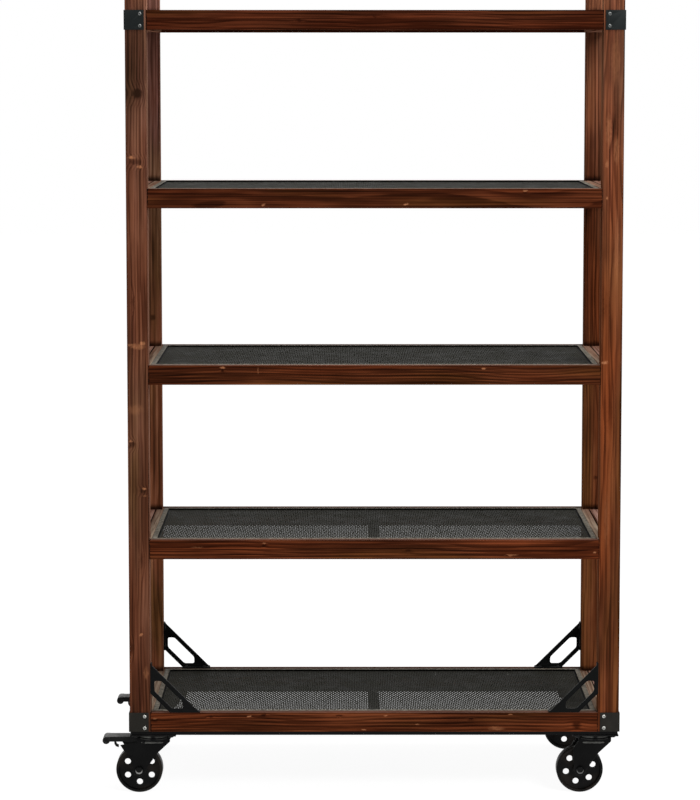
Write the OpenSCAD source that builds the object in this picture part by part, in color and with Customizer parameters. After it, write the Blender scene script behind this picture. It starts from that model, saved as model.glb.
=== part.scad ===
// Rolling shelf: a stained timber frame with five steel mesh decks on four swivel casters.
// Millimetres, +Z up. The casters' treads stand on z = 0, +X is to the right and -Y is the front.
// The origin lies under the middle of the overall box, brake pedals included.

/* [Frame] */
// Overall width across the posts
frame_w = 1067; // [800:1:1400]
// Overall depth across the posts
frame_d = 457; // [400:1:650]
// Height from one deck top to the next
tier_pitch = 381; // [330:1:450]
// Length of post that stands above the top deck
post_rise = 34; // [5:1:100]

/* [Timber] */
// Side of a square post
post_w = 45; // [44:1:60]
// Height of every rail
rail_h = 42; // [40:1:60]
// Thickness of the front and back rails
rail_t = 19; // [18:0.5:25]
// Thickness of the side boards
board_t = 31; // [30:0.5:34]
// How far the battens, which are glued to the side boards, stand in past the posts
batten_proud = 4; // [1:0.5:6]

/* [Mesh decks] */
// Width of the rim's flat top
rim_w = 10.5; // [8:0.5:30]
// Height of the rim's hanging flange
flange_h = 20; // [16:0.5:30]
// Thickness of the rim's steel
rim_t = 3; // [2:0.1:4]
// Gap round a deck
deck_gap = 0.4; // [0.2:0.1:0.8]
// Thickness of the mesh
mesh_t = 1.2; // [0.8:0.1:2]
// Width of a strand of the coarse mesh
strand_w = 6; // [3:0.5:12]
// Mesh gaps along the deck's width
mesh_cols = 20; // [8:2:24]
// Mesh gaps along the deck's depth
mesh_rows = 7; // [4:1:10]
// Width of the bar under the middle of a mesh
bar_w = 21; // [12:0.5:30]
// Height of that bar
bar_h = 12; // [6:0.5:15]

/* [Corner steel] */
// Length of each leg of a corner bracket
bracket_leg = 41; // [40:0.5:44]
// Thickness of a corner bracket
bracket_t = 2; // [1.5:0.1:3]
// Distance from the post's outer edge to a bracket's screws
bracket_screw_in = 32.5; // [31:0.5:34]
// Height between a bracket's two screws
bracket_screw_pitch = 25.5; // [24:0.5:28]
// Length of each leg of a gusset
gusset_leg = 108; // [90:1:130]
// Leg of the triangle that is left out at a gusset's corner
gusset_cut = 43; // [35:1:48]
// Width of the web's strip on each side of the slot, measured along a leg
gusset_strip = 13.5; // [10:0.5:18]
// Width of a gusset's flanges
gusset_flange = 18; // [16:0.5:19]
// Thickness of a gusset's steel
gusset_t = 3; // [2:0.1:4]

/* [Base] */
// Width of a base tube
tube_w = 40; // [38:0.5:42]
// Height of a base tube
tube_h = 8; // [8:0.5:12]
// Wall of a base tube
tube_wall = 1.5; // [1:0.1:2]
// Distance of the base tubes from the frame's outer faces
tube_inset = 2; // [1:0.5:4]
// Thickness of the webs in the base's corners
web_t = 2; // [1.5:0.1:3]

/* [Casters] */
// Radius of a wheel
wheel_r = 51; // [45:0.5:56]
// Width of a wheel's tread
wheel_w = 32; // [28:0.5:34]
// Radial thickness of a wheel's rim
wheel_rim = 6; // [4:0.5:8]
// Thickness of a wheel's disc
disc_t = 5; // [4:0.5:10]
// Radius of a wheel's hub
hub_r = 15; // [12:0.5:18]
// Radius of the holes in a wheel's disc
disc_hole_r = 6.7; // [5:0.1:8]
// Radius of the circle that those holes lie on
disc_hole_ring = 30.2; // [28:0.1:32]
// Number of those holes
disc_holes = 6; // [4:1:6]
// Distance from the swivel axis back to the axle
trail = 32; // [28:0.5:34]
// Length of a caster's top plate
plate_l = 100; // [98:1:110]
// Width of a caster's top plate
plate_d = 80; // [80:1:90]
// Thickness of a caster's top plate
plate_t = 3; // [2.5:0.1:4]
// Height of the top plate's top above the floor
plate_top = 134; // [132:0.5:150]
// Radius of the swivel race
race_r = 36; // [34:0.5:38]
// Height between the top plate and the yoke's crown
race_gap = 7; // [6:0.1:8]
// Thickness of the yoke's steel
yoke_t = 3; // [2.5:0.1:4]
// Gap between the yoke's legs
yoke_gap = 36; // [35:0.5:40]
// Radius of the yoke's rounded ends
eye_r = 12; // [10:0.5:14]
// Radius of the axle bolt
axle_r = 5; // [4:0.1:5.5]
// Radius of the sleeve that the wheel turns on
sleeve_r = 7; // [6.5:0.1:8]
// Radius of the kingpin
kingpin_r = 6; // [5:0.1:7]
// Number of balls in a swivel race
race_balls = 10; // [8:1:12]

/* [Brake pedals] */
// Reach of a pedal from the swivel axis
pedal_reach = 112; // [105:1:125]
// Travel of a pedal in degrees
pedal_travel = 10; // [6:1:10]
// Thickness of a pedal's steel
pedal_t = 4; // [3:0.5:5]
// Height of a pedal's side skirts
skirt_h = 11; // [9:0.5:13]
// Radius of the rolled end of a pedal
roll_r = 8; // [6:0.5:9]

/* [Fasteners] */
// Radius of the bolts that hold the long rails
bolt_r = 3; // [2.5:0.1:3.5]
// Radius of the barrel nuts
barrel_r = 5; // [4.5:0.1:5.5]
// Radius of the wooden dowels
dowel_r = 4; // [3:0.1:4.5]
// Radius of the wood screws
screw_r = 2; // [1.5:0.1:2.2]
// Depth of a wood screw in the timber
screw_depth = 10; // [8:0.5:11]
// Radius of a wood screw's head
screw_head_r = 4; // [3:0.1:4.5]
// Height of a wood screw's head
screw_head_h = 2; // [1.2:0.1:2.5]
// Radius of the screws that hold the caster plates
lag_r = 3; // [2.5:0.1:3.2]
// Radial play of a fastener in its hole
play = 0.1; // [0.05:0.01:0.15]
// Radial play of a turning fit
run_play = 0.08; // [0.04:0.01:0.1]

/* [Hidden] */
CORNERS = ["front_left", "front_right", "back_left", "back_right"];
BRAKED = ["front_left", "back_left"];
TIERS = [1:5];
// Tiers with corner brackets: the lowest and the top one
BRACKETED = [1, 5];

$fn = 64;
eps = 0.5;

// Colours
post_brown = [0.36, 0.20, 0.14];
rail_brown = [0.28, 0.13, 0.08];
dowel_tan = [0.72, 0.55, 0.36];
rim_grey = [0.42, 0.43, 0.40];
mesh_grey = [0.24, 0.24, 0.21];
black_steel = [0.10, 0.11, 0.11];
wheel_black = [0.05, 0.05, 0.05];
zinc = [0.70, 0.70, 0.68];

// Planes of the frame, for the corner with +X and +Y
hx = frame_w / 2;
hy = frame_d / 2;
post_x = hx - post_w;
post_y = hy - post_w;
rail_y = hy - rail_t;
board_x = hx - board_t;
foot_z = plate_top + tube_h;
function deck_z(i) = foot_z + rail_h + (i - 1) * tier_pitch;
post_len = deck_z(BRACKETED[1]) - foot_z + post_rise;
function mid_z(i) = deck_z(i) - rail_h / 2;

// Everything is moved by this much, so that the origin is under the middle of the box
shift_x = (pedal_reach - plate_l / 2 - bracket_t - screw_head_h) / 2;

// Decks
batten_x = post_x - batten_proud;
rim_x = batten_x - deck_gap;
rim_y = rail_y - deck_gap;
mesh_x = rim_x - rim_t - deck_gap;
mesh_y = rim_y - rim_t - deck_gap;
deck_screw_drop = (rim_t + flange_h) / 2;

// Fasteners
bolt_head_r = 6;
bolt_head_h = 3.5;
bolt_sink = 4;
bolt_reach = 60;
barrel_in = 40;
barrel_l = rail_t - 5;
dowel_rise = 10;
dowel_in_post = 8;
dowel_in_rail = 22;
side_dowel_in_post = 20;
side_dowel_in_board = 16;
gusset_screw_at = [gusset_cut + 10, gusset_leg - 14];
slot_edge = 9;
slot_end = 24;
deck_screw_x = [0.3 * post_x, 0.65 * post_x];
deck_screw_y = 0.4 * post_y;
lag_depth = 14;
lag_head_r = 6.5;
lag_head_h = 4;
lag_in = 12;

// Casters, for the corner with +X and +Y
plate_x = hx - plate_l / 2;
plate_y = hy - plate_d / 2;
plate_z = plate_top - plate_t;
crown_z = plate_z - race_gap;
crown_low = crown_z - yoke_t;
leg_y = yoke_gap / 2;
axle_x = -trail;
axle_z = wheel_r;
waist_x = 39;
waist_z = 37;
leg_back = 3;
leg_slope = 15;
shoulder_drop = 6;
eye_turn = 16;
lip_t = 3;
lip_h = 5;
collar_r = 10;
collar_h = 6;
head_sink = 2;
ball_r = race_gap / 2 - play;
ball_ring = race_r - lip_t - ball_r - 7;
hub_gap = 0.4;
tread_edge = 2.5;
hex_r = 8.5;
hex_h = 5.5;
thread_end = 2;
// How far each wheel is turned
disc_turn = [0, -15, 20, -5];

// Brake pedals, measured from the swivel axis and the floor
pivot_x = -22;
pivot_z = crown_low - 8;
pivot_r = 6;
pin_r = 3;
pedal_top = crown_z + 1;
pedal_y = leg_y - 0.5;
pedal_step = -race_r - 2.5;
skirt_end = -pedal_reach + 2 * roll_r - 4;
roll_x = -pedal_reach + roll_r;
roll_z = pedal_top - roll_r;
tread_gap = 0.3;
shoe_x = [-60, -42];
hook_x = -pedal_reach + 24;
hook_w = 12;
// Outline of the hook, from its place under a skirt
hook_points = [[0, 4], [4, 4], [4, -6], [6, -10], [10, -12], [10, -15.5], [4, -13], [1, -8]];
skirt_t = 2.5;
tip_over = 2;
// Outline of the lug that a braked yoke has over its wheel, from the axle
lug_points = [[-4, 62], [-41, 56], [-32, 42], [-17, 32]];

module four_corners() {
    for (sx = [0, 1], sy = [0, 1]) mirror([sx, 0, 0]) mirror([0, sy, 0]) children();
}

module left_and_right() {
    for (sx = [0, 1]) mirror([sx, 0, 0]) children();
}

// Moves a piece drawn at the corner with +X and +Y to the named corner
module to_corner(c) {
    left = c == "front_left" || c == "back_left";
    front = c == "front_left" || c == "front_right";
    translate([shift_x, 0, 0]) mirror([left ? 1 : 0, 0, 0]) mirror([0, front ? 1 : 0, 0]) children();
}

// Moves a piece drawn round a swivel axis to the named corner without mirroring it
module to_caster(c) {
    sx = c == "front_left" || c == "back_left" ? -1 : 1;
    sy = c == "front_left" || c == "front_right" ? -1 : 1;
    translate([shift_x + sx * plate_x, sy * plate_y, 0]) children();
}

module centred() translate([shift_x, 0, 0]) children();

// Turns +Z to point along +X or +Y, out of the timber
module facing_x() rotate([0, 90, 0]) children();
module facing_y() rotate([-90, 0, 0]) children();

// A pan-head screw: its head's underside is at z = 0 and its shank goes down
module wood_screw(depth) {
    cylinder(h = screw_head_h, r1 = screw_head_r, r2 = 0.7 * screw_head_r);
    translate([0, 0, -depth]) cylinder(h = depth + eps, r = screw_r);
}

module screw_hole(depth) {
    translate([0, 0, -depth - eps]) cylinder(h = depth + 2 * eps, r = screw_r + play);
}

// Places of the fasteners, all for the corner with +X and +Y. Their children's +Z points out.
module at_rail_bolt(i) translate([hx, (hy + rail_y) / 2, mid_z(i)]) facing_x() children();

module at_rail_dowel(i) {
    translate([post_x, (hy + rail_y) / 2, mid_z(i) - dowel_rise]) facing_x() children();
}

module at_side_dowels(i) {
    for (s = [-1, 1])
        translate([(hx + board_x) / 2, post_y, mid_z(i) + s * dowel_rise]) facing_y() children();
}

module at_bracket_screws(i) {
    for (s = [-1, 1]) {
        z = mid_z(i) + s * bracket_screw_pitch / 2;
        translate([hx - bracket_screw_in, hy + bracket_t, z]) facing_y() children();
        translate([hx + bracket_t, hy - bracket_screw_in, z]) facing_x() children();
    }
}

module at_gusset_post_screws() {
    for (v = gusset_screw_at)
        translate([post_x - gusset_t, hy - gusset_flange / 2, deck_z(1) + v]) facing_x()
            rotate([180, 0, 0]) children();
}

module at_gusset_rail_screws() {
    for (u = gusset_screw_at)
        translate([post_x - u, hy - gusset_flange / 2, deck_z(1) + gusset_t]) children();
}

module at_long_deck_screws(i) {
    for (x = deck_screw_x)
        translate([x, rim_y - rim_t, deck_z(i) - deck_screw_drop]) facing_y()
            rotate([180, 0, 0]) children();
}

module at_side_deck_screw(i) {
    translate([rim_x - rim_t, deck_screw_y, deck_z(i) - deck_screw_drop]) facing_x()
        rotate([180, 0, 0]) children();
}

// The four screws of a caster plate, the inner one last
lag_dx = plate_l / 2 - lag_in;
lag_dy = plate_d / 2 - lag_in;
LAG_SPOTS = [[lag_dx, lag_dy], [lag_dx, -lag_dy], [-lag_dx, lag_dy], [-lag_dx, -lag_dy]];

module at_lag(k) translate([plate_x + LAG_SPOTS[k][0], plate_y + LAG_SPOTS[k][1], plate_z]) children();

module at_lags() for (k = [0:3]) at_lag(k) children();

module lag_hole(depth) translate([0, 0, -eps]) cylinder(h = depth + 2 * eps, r = lag_r + play);

lag_len = plate_t + tube_h + lag_depth;

// Holes of the fasteners
module rail_bolt_hole() {
    translate([0, 0, -bolt_reach - post_w]) cylinder(h = bolt_reach + post_w + eps, r = bolt_r + play);
    translate([0, 0, -bolt_sink]) cylinder(h = bolt_sink + eps, r = bolt_head_r + play);
}

module rail_dowel_hole() {
    translate([0, 0, -dowel_in_rail - eps])
        cylinder(h = dowel_in_rail + dowel_in_post + 2 * eps, r = dowel_r + play);
}

module side_dowel_hole() {
    translate([0, 0, -side_dowel_in_board - eps])
        cylinder(h = side_dowel_in_board + side_dowel_in_post + 2 * eps, r = dowel_r + play);
}

screw_in_post = bracket_t + screw_depth;
screw_in_gusset = gusset_t + screw_depth;
screw_in_deck = rim_t + deck_gap + screw_depth;

// Timber
module post(c) {
    color(post_brown) to_corner(c) difference() {
        translate([post_x, post_y, foot_z]) cube([post_w, post_w, post_len]);
        for (i = TIERS) {
            at_rail_bolt(i) rail_bolt_hole();
            at_rail_dowel(i) rail_dowel_hole();
            at_side_dowels(i) side_dowel_hole();
        }
        for (i = BRACKETED) at_bracket_screws(i) screw_hole(screw_in_post);
        at_gusset_post_screws() screw_hole(screw_in_gusset);
        at_lag(0) lag_hole(lag_len);
    }
}

module back_rail_blank(i) {
    difference() {
        translate([-post_x, rail_y, deck_z(i) - rail_h]) cube([2 * post_x, rail_t, rail_h]);
        left_and_right() {
            at_rail_bolt(i) rail_bolt_hole();
            at_rail_dowel(i) rail_dowel_hole();
            translate([post_x - barrel_in, rail_y - eps, mid_z(i)]) rotate([-90, 0, 0])
                cylinder(h = barrel_l + 2 * eps, r = barrel_r + play);
            at_long_deck_screws(i) screw_hole(screw_in_deck);
            if (i == 1) {
                at_gusset_rail_screws() screw_hole(screw_in_gusset);
                at_lag(2) lag_hole(lag_len);
            }
        }
    }
}

module back_rail(i) color(rail_brown) centred() back_rail_blank(i);

module front_rail(i) color(rail_brown) centred() mirror([0, 1, 0]) back_rail_blank(i);

module side_boards(i) {
    color(rail_brown) centred() left_and_right() difference() {
        translate([board_x, -post_y, deck_z(i) - rail_h]) cube([board_t, 2 * post_y, rail_h]);
        for (sy = [0, 1]) mirror([0, sy, 0]) {
            at_side_dowels(i) side_dowel_hole();
            if (i == 1) at_lag(1) lag_hole(lag_len);
        }
    }
}

// A batten is notched round the posts, so that its inner edge reaches both rails
module side_battens() {
    color(rail_brown) centred() left_and_right() for (i = TIERS) difference() {
        translate([batten_x, 0, deck_z(i) - rail_h]) {
            translate([0, -post_y, 0]) cube([board_x - batten_x, 2 * post_y, rail_h]);
            translate([0, -rail_y, 0]) cube([batten_proud, 2 * rail_y, rail_h]);
        }
        for (sy = [0, 1]) mirror([0, sy, 0]) at_side_deck_screw(i) screw_hole(screw_in_deck);
    }
}

// Decks
module deck_rim(i) {
    color(rim_grey) centred() translate([0, 0, deck_z(i)]) difference() {
        translate([-rim_x, -rim_y, -flange_h]) cube([2 * rim_x, 2 * rim_y, flange_h]);
        translate([rim_t - rim_x, rim_t - rim_y, -flange_h - eps])
            cube([2 * (rim_x - rim_t), 2 * (rim_y - rim_t), flange_h + eps - rim_t]);
        translate([rim_w - rim_x, rim_w - rim_y, -rim_t - eps])
            cube([2 * (rim_x - rim_w), 2 * (rim_y - rim_w), rim_t + 2 * eps]);
        translate([0, 0, -deck_z(i)]) four_corners() {
            at_long_deck_screws(i) screw_hole(screw_in_deck);
            at_side_deck_screw(i) screw_hole(screw_in_deck);
        }
    }
}

module mesh_sheet() {
    cell_x = 2 * mesh_x / mesh_cols;
    cell_y = 2 * mesh_y / mesh_rows;
    difference() {
        square([2 * mesh_x, 2 * mesh_y], center = true);
        for (a = [0:mesh_cols - 1], b = [0:mesh_rows - 1])
            translate([(a + 0.5) * cell_x - mesh_x, (b + 0.5) * cell_y - mesh_y])
                square([cell_x - strand_w, cell_y - strand_w], center = true);
    }
}

module deck_mesh(i) {
    color(mesh_grey) centred() translate([0, 0, deck_z(i) - rim_t - mesh_t])
        linear_extrude(mesh_t) mesh_sheet();
}

// Each bar is a channel, open below, that spans the deck between the rim's flanges
module deck_bars() {
    bar_y = rim_y - rim_t;
    color(rim_grey) centred() for (i = TIERS)
        translate([0, 0, deck_z(i) - rim_t - mesh_t - bar_h]) difference() {
            translate([-bar_w / 2, -bar_y, 0]) cube([bar_w, 2 * bar_y, bar_h]);
            translate([mesh_t - bar_w / 2, -bar_y - eps, -eps])
                cube([bar_w - 2 * mesh_t, 2 * (bar_y + eps), bar_h - mesh_t + eps]);
        }
}

// Corner steel
module corner_bracket(i) {
    difference() {
        translate([0, 0, deck_z(i) - rail_h]) linear_extrude(rail_h) difference() {
            translate([hx - bracket_leg, hy - bracket_leg])
                square(bracket_leg + bracket_t);
            translate([hx - bracket_leg - eps, hy - bracket_leg - eps]) square(bracket_leg + eps);
        }
        at_bracket_screws(i) screw_hole(screw_in_post);
    }
}

module top_brackets() color(black_steel) centred() four_corners() corner_bracket(BRACKETED[1]);

module bottom_brackets() color(black_steel) centred() four_corners() corner_bracket(BRACKETED[0]);

// The web's outline, from the corner: x along the rail and y up the post
module gusset_web() {
    slot_in = gusset_cut + gusset_strip - slot_edge;
    slot_out = gusset_leg - gusset_strip - slot_end;
    difference() {
        polygon([[0, gusset_cut], [gusset_cut, 0], [gusset_leg, 0], [0, gusset_leg]]);
        polygon([[slot_edge, slot_in], [slot_edge, slot_out], [slot_end, slot_out],
                 [slot_out, slot_end], [slot_out, slot_edge], [slot_in, slot_edge]]);
    }
}

module gusset() {
    span = gusset_leg - gusset_cut;
    difference() {
        union() {
            translate([post_x, hy, deck_z(1)]) mirror([1, 0, 0]) rotate([90, 0, 0])
                linear_extrude(gusset_t) gusset_web();
            translate([post_x - gusset_t, hy - gusset_flange, deck_z(1) + gusset_cut])
                cube([gusset_t, gusset_flange, span]);
            translate([post_x - gusset_leg, hy - gusset_flange, deck_z(1)])
                cube([span, gusset_flange, gusset_t]);
        }
        at_gusset_post_screws() screw_hole(screw_in_gusset);
        at_gusset_rail_screws() screw_hole(screw_in_gusset);
    }
}

module gussets() color(black_steel) centred() four_corners() gusset();

// Fasteners
module bracket_screws() {
    color(zinc) centred() four_corners()
        for (i = BRACKETED) at_bracket_screws(i) wood_screw(screw_in_post);
}

module gusset_screws() {
    color(black_steel) centred() four_corners() {
        at_gusset_post_screws() wood_screw(screw_in_gusset);
        at_gusset_rail_screws() wood_screw(screw_in_gusset);
    }
}

module deck_screws() {
    color(zinc) centred() four_corners() for (i = TIERS) {
        at_long_deck_screws(i) wood_screw(screw_in_deck);
        at_side_deck_screw(i) wood_screw(screw_in_deck);
    }
}

module rail_bolts() {
    color(zinc) centred() four_corners() for (i = TIERS) at_rail_bolt(i) {
        translate([0, 0, -bolt_sink]) cylinder(h = bolt_head_h, r = bolt_head_r);
        translate([0, 0, -bolt_reach - post_w + eps])
            cylinder(h = bolt_reach + post_w - bolt_sink, r = bolt_r);
    }
}

module barrel_nuts() {
    color(zinc) centred() four_corners() for (i = TIERS) difference() {
        translate([post_x - barrel_in, rail_y, mid_z(i)]) rotate([-90, 0, 0])
            cylinder(h = barrel_l, r = barrel_r);
        at_rail_bolt(i) rail_bolt_hole();
    }
}

module dowels() {
    color(dowel_tan) centred() four_corners() for (i = TIERS) {
        at_rail_dowel(i) translate([0, 0, -dowel_in_rail])
            cylinder(h = dowel_in_rail + dowel_in_post, r = dowel_r);
        at_side_dowels(i) translate([0, 0, -side_dowel_in_board])
            cylinder(h = side_dowel_in_board + side_dowel_in_post, r = dowel_r);
    }
}

// Base
module tube(len) {
    difference() {
        cube([len, tube_w, tube_h]);
        translate([-eps, tube_wall, tube_wall])
            cube([len + 2 * eps, tube_w - 2 * tube_wall, tube_h - 2 * tube_wall]);
    }
}

tube_x = hx - tube_inset;
tube_y = hy - tube_inset;

module base_frame() {
    web_x = plate_x - plate_l / 2;
    web_y = plate_y - plate_d / 2;
    color(black_steel) centred() difference() {
        union() {
            for (sy = [0, 1]) mirror([0, sy, 0])
                translate([-tube_x, tube_y - tube_w, plate_top]) tube(2 * tube_x);
            left_and_right() translate([tube_x, tube_w - tube_y, plate_top]) rotate([0, 0, 90])
                tube(2 * (tube_y - tube_w));
            four_corners() translate([web_x, web_y, plate_top])
                cube([tube_x - tube_w - web_x, tube_y - tube_w - web_y, web_t]);
        }
        four_corners() at_lags() lag_hole(lag_len);
    }
}

// Casters
module caster_plate() {
    difference() {
        union() {
            translate([plate_x - plate_l / 2, plate_y - plate_d / 2, plate_z])
                cube([plate_l, plate_d, plate_t]);
            translate([plate_x, plate_y, plate_z - lip_h]) difference() {
                cylinder(h = lip_h + plate_t / 2, r = race_r);
                translate([0, 0, -eps]) cylinder(h = lip_h + eps, r = race_r - lip_t);
            }
        }
        at_lags() lag_hole(lag_len);
        translate([plate_x, plate_y, plate_z - eps])
            cylinder(h = plate_t + 2 * eps, r = kingpin_r + play);
        translate([plate_x, plate_y, plate_top - head_sink])
            cylinder(h = head_sink + eps, r = collar_r + play);
    }
}

module caster_plates() color(black_steel) centred() four_corners() caster_plate();

// Three of each caster's screws go up into the timber; the inner one has a nut on the web
module caster_screws() {
    nut_z = plate_t + web_t;
    color(zinc) centred() four_corners() {
        for (k = [0:2]) at_lag(k) {
            translate([0, 0, -lag_head_h]) cylinder(h = lag_head_h, r = lag_head_r, $fn = 6);
            translate([0, 0, -eps]) cylinder(h = lag_len + eps, r = lag_r);
        }
        at_lag(3) {
            translate([0, 0, -lag_head_h]) cylinder(h = lag_head_h, r = lag_head_r, $fn = 6);
            translate([0, 0, -eps]) cylinder(h = nut_z + lag_head_h + 2 * eps, r = lag_r);
            translate([0, 0, nut_z]) difference() {
                cylinder(h = lag_head_h, r = lag_head_r, $fn = 6);
                lag_hole(lag_head_h);
            }
        }
    }
}

// A kingpin is riveted: its head lies in the plate and its collar holds the crown
module kingpins() {
    color(zinc) centred() four_corners() translate([plate_x, plate_y, 0]) {
        translate([0, 0, plate_top - head_sink]) cylinder(h = head_sink, r = collar_r);
        translate([0, 0, crown_low - play - collar_h])
            cylinder(h = plate_top - crown_low + play + collar_h - head_sink + eps, r = kingpin_r);
        translate([0, 0, crown_low - play - collar_h]) cylinder(h = collar_h, r = collar_r);
    }
}

module swivel_balls() {
    color(zinc) centred() four_corners() translate([plate_x, plate_y, crown_z + race_gap / 2])
        for (a = [0:race_balls - 1]) rotate(a * 360 / race_balls)
            translate([ball_ring, 0, 0]) sphere(r = ball_r);
}

// A yoke's leg, drawn with x along the floor and y up, from the swivel axis
module leg_outline(braked) {
    waist = [axle_x + waist_x, axle_z + waist_z];
    back_x = axle_x - eye_r - leg_back;
    shoulder = crown_low - shoulder_drop;
    polygon([[race_r, crown_z], [race_r, shoulder], waist,
             [axle_x + eye_r * cos(eye_turn), axle_z - eye_r * sin(eye_turn)], [axle_x, axle_z],
             [axle_x - eye_r, axle_z], [back_x, axle_z + 2 * eye_r], [back_x, shoulder - leg_slope],
             [-race_r, shoulder], [-race_r, crown_z]]);
    translate([axle_x, axle_z]) {
        circle(r = eye_r);
        if (braked) polygon(lug_points);
    }
}

module across(half) rotate([90, 0, 0]) translate([0, 0, -half]) linear_extrude(2 * half) children();

module yoke(c) {
    braked = is_num(search([c], BRAKED)[0]);
    color(black_steel) to_caster(c) difference() {
        union() {
            translate([0, 0, crown_low]) linear_extrude(yoke_t) {
                circle(r = race_r);
                square([2 * race_r, 2 * (leg_y + yoke_t)], center = true);
            }
            difference() {
                across(leg_y + yoke_t) leg_outline(braked);
                translate([-2 * plate_l, -leg_y, -eps]) cube([4 * plate_l, 2 * leg_y, crown_low + eps]);
            }
        }
        translate([0, 0, crown_low - eps])
            cylinder(h = yoke_t + 2 * eps, r = kingpin_r + run_play);
        translate([axle_x, 0, axle_z]) rotate([90, 0, 0])
            cylinder(h = 4 * leg_y, r = axle_r + play, center = true);
        if (braked) translate([pivot_x, 0, pivot_z]) rotate([90, 0, 0])
            cylinder(h = 4 * leg_y, r = pin_r + run_play, center = true);
    }
}

module axle(c) {
    outer = leg_y + yoke_t;
    end = outer + hex_h + thread_end;
    color(zinc) to_caster(c) translate([axle_x, 0, axle_z]) rotate([90, 0, 0]) {
        translate([0, 0, outer]) cylinder(h = hex_h, r = hex_r, $fn = 6);
        translate([0, 0, -end]) cylinder(h = end + outer + eps, r = axle_r);
        translate([0, 0, -outer - hex_h]) difference() {
            cylinder(h = hex_h, r = hex_r, $fn = 6);
            translate([0, 0, -eps]) cylinder(h = hex_h + 2 * eps, r = axle_r + play);
        }
        difference() {
            cylinder(h = 2 * (leg_y - play), r = sleeve_r, center = true);
            cylinder(h = 2 * leg_y, r = axle_r + play, center = true);
        }
    }
}

// A wheel's section: x is the radius and y is the distance from its middle plane
module wheel_section() {
    hub_y = leg_y - hub_gap;
    rim_in = wheel_r - wheel_rim;
    half = [[sleeve_r + run_play, hub_y], [hub_r, hub_y], [hub_r, disc_t / 2], [rim_in, disc_t / 2],
            [rim_in, wheel_w / 2], [wheel_r - tread_edge, wheel_w / 2],
            [wheel_r - tread_edge / 4, (wheel_w - tread_edge) / 2],
            [wheel_r, wheel_w / 2 - 1.5 * tread_edge]];
    polygon(concat(half, [for (k = [len(half) - 1:-1:0]) [half[k][0], -half[k][1]]]));
}

module wheel(c) {
    turn = disc_turn[search([c], CORNERS)[0]];
    color(wheel_black) to_caster(c) translate([axle_x, 0, axle_z]) rotate([90, 0, 0]) difference() {
        rotate_extrude($fn = 96) wheel_section();
        for (a = [0:disc_holes - 1]) rotate(30 + turn + a * 360 / disc_holes)
            translate([disc_hole_ring, 0, 0]) cylinder(h = 2 * disc_t, r = disc_hole_r, center = true);
    }
}

// The pedal's side skirts, drawn with x along the floor and y up, from the swivel axis
module skirt_outline() {
    low = pedal_top - skirt_h;
    polygon([[pivot_x, pivot_z - pivot_r], [pivot_x, pivot_z + pivot_r],
             [pedal_step + 2, pivot_z + pivot_r], [pedal_step, pedal_top], [roll_x, pedal_top],
             [roll_x, roll_z - roll_r], [skirt_end, low], [shoe_x[0], low],
             [shoe_x[1], pivot_z - pivot_r]]);
    translate([roll_x, roll_z]) circle(r = roll_r);
}

// The tread as it lies against the pedal when the pedal is pressed down
module pressed_tread() {
    translate([pivot_x, 0, pivot_z]) rotate([0, pedal_travel, 0]) translate([-pivot_x, 0, -pivot_z])
        translate([axle_x, 0, axle_z]) rotate([90, 0, 0])
            cylinder(h = 2 * plate_d, r = wheel_r + tread_gap, center = true);
}

module brake_pedal(c) {
    skirt_in = pedal_y - skirt_t;
    tip_y = pedal_y + tip_over;
    color(black_steel) to_caster(c) difference() {
        union() {
            difference() {
                across(pedal_y) skirt_outline();
                across(skirt_in) translate([-pedal_reach - eps, 0])
                    square([pedal_reach + eps - pivot_r, pedal_top - pedal_t]);
            }
            translate([pivot_x, 0, pivot_z]) rotate([90, 0, 0]) {
                cylinder(h = 2 * pedal_y, r = pivot_r, center = true);
                cylinder(h = 2 * (leg_y + yoke_t + thread_end), r = pin_r, center = true);
            }
            translate([roll_x, -tip_y, pedal_top - pedal_t])
                cube([skirt_end - roll_x + 2, 2 * tip_y, pedal_t]);
            across(tip_y) translate([roll_x, roll_z]) difference() {
                circle(r = roll_r);
                circle(r = roll_r - pedal_t);
            }
            across(skirt_in) translate([shoe_x[0], axle_z])
                square([shoe_x[1] - shoe_x[0], pedal_top - pedal_t - axle_z + eps]);
            translate([hook_x, 0, pedal_top - skirt_h]) {
                across(hook_w / 2) polygon(hook_points);
                across(pedal_y) square(hook_points[1]);
            }
        }
        pressed_tread();
    }
}

for (c = CORNERS) post(c);
for (i = TIERS) front_rail(i);
for (i = TIERS) back_rail(i);
for (i = TIERS) side_boards(i);
side_battens();
for (i = TIERS) deck_rim(i);
for (i = TIERS) deck_mesh(i);
deck_bars();
top_brackets();
bottom_brackets();
gussets();
bracket_screws();
gusset_screws();
deck_screws();
rail_bolts();
barrel_nuts();
dowels();
base_frame();
caster_plates();
caster_screws();
kingpins();
swivel_balls();
for (c = CORNERS) yoke(c);
for (c = CORNERS) axle(c);
for (c = CORNERS) wheel(c);
for (c = BRAKED) brake_pedal(c);
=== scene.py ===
"""Looks of a rolling shelf: stained timber, mesh decks, black corner steel and swivel casters.

Metres, +Z up, +X along the shelves and -Y to the front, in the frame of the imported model.
"""
import math

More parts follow.
